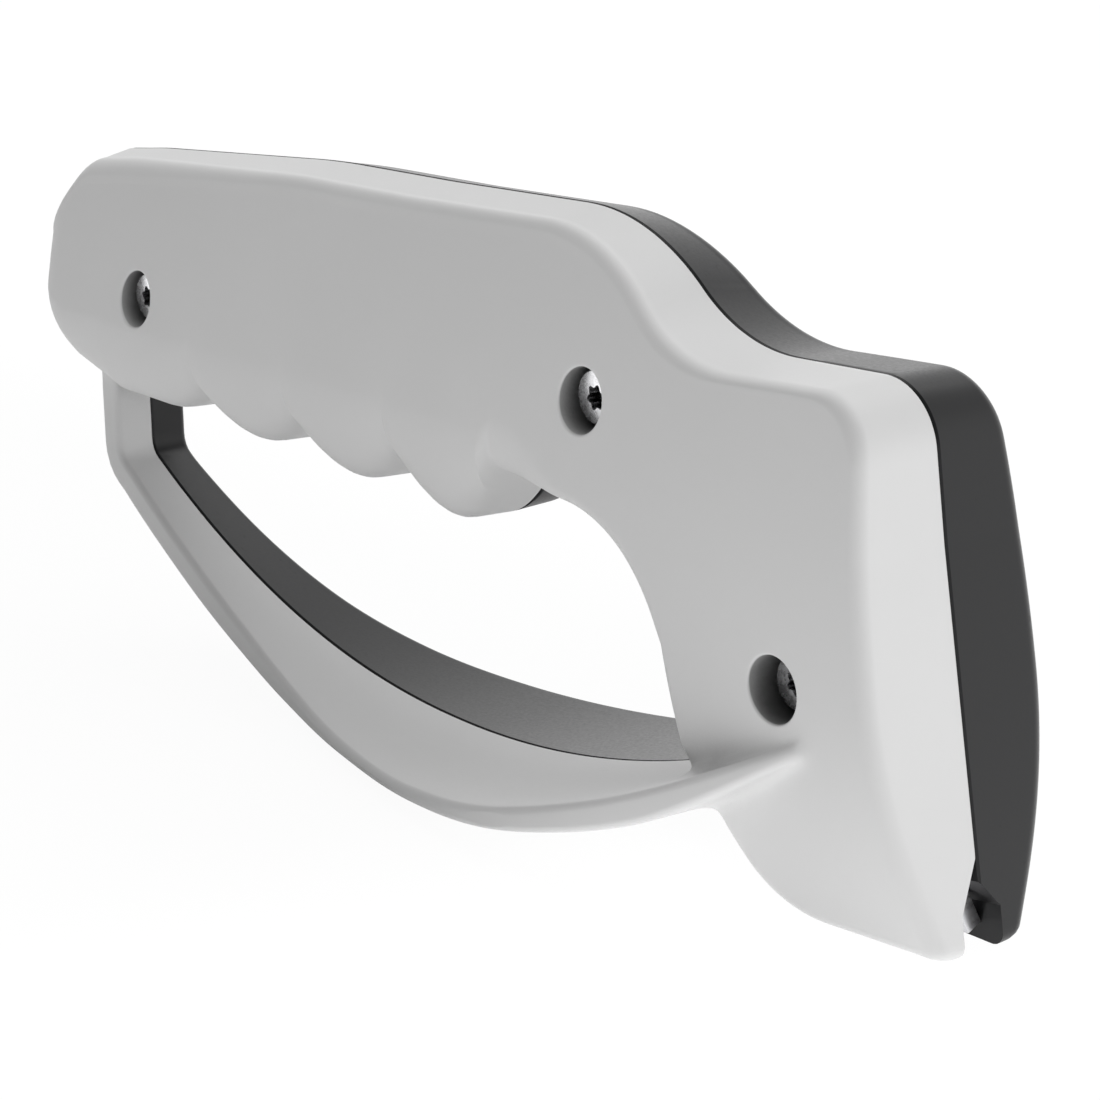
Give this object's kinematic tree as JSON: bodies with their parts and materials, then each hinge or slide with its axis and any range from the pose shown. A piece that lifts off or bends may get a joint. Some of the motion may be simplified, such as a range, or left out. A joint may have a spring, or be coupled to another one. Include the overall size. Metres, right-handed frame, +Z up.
{
  "type": "pull through knife sharpener",
  "caption": "Hand-held pull through knife sharpener: a two-tone moulded handle with finger grooves, a flared knuckle guard and a notched head that holds crossed carbide inserts.",
  "frame": {"origin": "middle of the length on the ground plane under the foot of the head and the lowest point of the guard", "axes": "+X from the rear of the handle to the front of the head, +Y to the dark casing, +Z up from the guard to the handle"},
  "size_m": [0.1463, 0.0362, 0.0591],
  "materials": {
    "light_plastic": "fine moulded texture, light grey",
    "dark_plastic": "fine moulded texture, anthracite",
    "screw_steel": "bright zinc-plated",
    "carbide": "ground"
  },
  "bodies": {
    "root": {"light_casing": "light_plastic", "dark_casing": "dark_plastic", "rear_screw": "screw_steel", "middle_screw": "screw_steel", "head_screw": "screw_steel", "front_insert": "carbide", "rear_insert": "carbide"}
  },
  "joints": []
}
